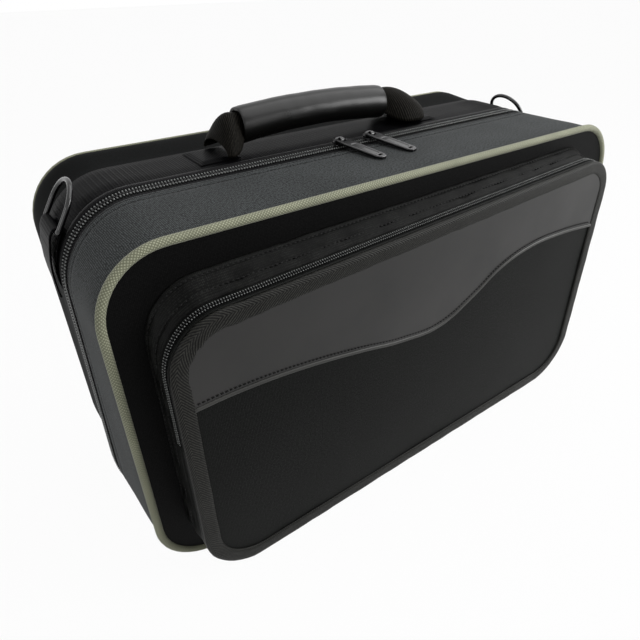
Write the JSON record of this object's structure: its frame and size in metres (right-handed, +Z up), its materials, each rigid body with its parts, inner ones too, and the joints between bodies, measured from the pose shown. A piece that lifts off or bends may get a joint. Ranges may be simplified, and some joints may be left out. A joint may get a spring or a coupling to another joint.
{
  "type": "trumpet case",
  "caption": "Soft trumpet case: zipped fabric lid and base round foam trays, front pocket, carrying grip, shoulder rings and a fitted cradle.",
  "frame": {"origin": "middle of the fabric hinge at the foot of the parting plane, on the ground", "axes": "+X along the case to the right seen from the pocket, +Y from the pocket to the back, +Z up towards the handle"},
  "size_m": [0.554, 0.2362, 0.3375],
  "materials": {
    "lid_nylon": "woven nylon, matt",
    "base_nylon": "woven nylon, matt",
    "face_nylon": "woven nylon, slightly glossy",
    "piping_bias": "woven bias tape over a cord",
    "webbing": "ribbed polypropylene webbing",
    "zip_tape": "woven tape",
    "zip_coil": "nylon coil",
    "black_metal": "gloss black lacquer",
    "grip_leather": "smooth leatherette with a sheen",
    "overlay_leather": "smooth satin leatherette",
    "pocket_nylon": "woven nylon, matt",
    "binding": "herringbone tape",
    "foam": "moulded foam with a lining",
    "plush": "short pile plush",
    "hard_foam": "dense foam"
  },
  "bodies": {
    "base": {"base_shell": "foam", "base_band": "base_nylon", "base_back_panel": "base_nylon", "base_piping": "piping_bias", "zip_tape_base": "zip_tape", "zip_coil_base": "zip_coil", "hinge_leaf_base": "base_nylon", "cradle": "plush", "mouthpiece_block": "hard_foam", "top_webbing": "webbing", "handle_anchor_left": "webbing", "handle_anchor_right": "webbing", "ring_loop_left": "webbing", "ring_loop_right": "webbing"},
    "lid": {"lid_shell": "foam", "lid_band": "lid_nylon", "lid_face_panel": "face_nylon", "lid_piping": "piping_bias", "zip_tape_lid": "zip_tape", "zip_coil_lid": "zip_coil", "hinge_leaf_lid": "base_nylon", "lid_pad": "plush", "pocket_gusset": "pocket_nylon", "pocket_zip_tape_gusset": "zip_tape", "pocket_zip_coil_gusset": "zip_coil", "pocket_front_lower": "pocket_nylon", "pocket_binding_lower": "binding"},
    "pocket_flap": {"pocket_zip_tape_flap": "zip_tape", "pocket_zip_coil_flap": "zip_coil", "pocket_flap_edge": "pocket_nylon", "pocket_front_upper": "pocket_nylon", "pocket_binding_upper": "binding", "pocket_overlay": "overlay_leather"},
    "slider_left": {"zip_slider_left": "black_metal"},
    "slider_right": {"zip_slider_right": "black_metal"},
    "pull_left": {"zip_pull_left": "black_metal"},
    "pull_right": {"zip_pull_right": "black_metal"},
    "pocket_slider": {"pocket_slider": "black_metal"},
    "pocket_pull": {"pocket_pull": "black_metal"},
    "handle": {"handle_grip": "grip_leather", "handle_strap_left": "webbing", "handle_strap_right": "webbing"},
    "ring_left": {"shoulder_ring_left": "black_metal"},
    "ring_right": {"shoulder_ring_right": "black_metal"},
    "accessory_lid": {"accessory_lid": "plush", "accessory_tab": "webbing"}
  },
  "joints": [
    {"name": "lid_hinge", "type": "hinge", "parent": "base", "child": "lid", "pos_m": [0, 0, 0], "axis": [1, 0, 0], "range_deg": [0, 175]},
    {"name": "pocket_flap_fold", "type": "hinge", "parent": "lid", "child": "pocket_flap", "pos_m": [0, -0.122, 0.15], "axis": [1, 0, 0], "range_deg": [0, 70]},
    {"name": "slider_left_slide", "type": "slide", "parent": "base", "child": "slider_left", "axis": [-1, 0, 0], "range_m": [0, 0.18]},
    {"name": "slider_right_slide", "type": "slide", "parent": "base", "child": "slider_right", "axis": [1, 0, 0], "range_m": [0, 0.18]},
    {"name": "pull_left_swing", "type": "hinge", "parent": "slider_left", "child": "pull_left", "pos_m": [-0.019, 0, 0.30085], "axis": [-1, 0, 0], "range_deg": [0, 95]},
    {"name": "pull_right_swing", "type": "hinge", "parent": "slider_right", "child": "pull_right", "pos_m": [0.016, 0, 0.30085], "axis": [-1, 0, 0], "range_deg": [0, 95]},
    {"name": "pocket_slider_slide", "type": "slide", "parent": "lid", "child": "pocket_slider", "axis": [0, 0, 1], "range_m": [0, 0.06]},
    {"name": "pocket_pull_swing", "type": "hinge", "parent": "pocket_slider", "child": "pocket_pull", "pos_m": [0.2334, -0.111, 0.162], "axis": [0, -1, 0], "range_deg": [0, 150]},
    {"name": "handle_tilt", "type": "hinge", "parent": "base", "child": "handle", "pos_m": [-0.022, 0.039, 0.301], "axis": [1, 0, 0], "range_deg": [-35, 35], "deforming": ["handle_strap_left", "handle_strap_right"]},
    {"name": "ring_left_swing", "type": "hinge", "parent": "base", "child": "ring_left", "pos_m": [-0.26433, 0.033, 0.27245], "axis": [0, -1, 0], "range_deg": [0, 150]},
    {"name": "ring_right_swing", "type": "hinge", "parent": "base", "child": "ring_right", "pos_m": [0.26433, 0.033, 0.27245], "axis": [0, 1, 0], "range_deg": [0, 150]},
    {"name": "accessory_lid_hinge", "type": "hinge", "parent": "base", "child": "accessory_lid", "pos_m": [0, 0.003, 0.2106], "axis": [1, 0, 0], "range_deg": [0, 95]}
  ]
}
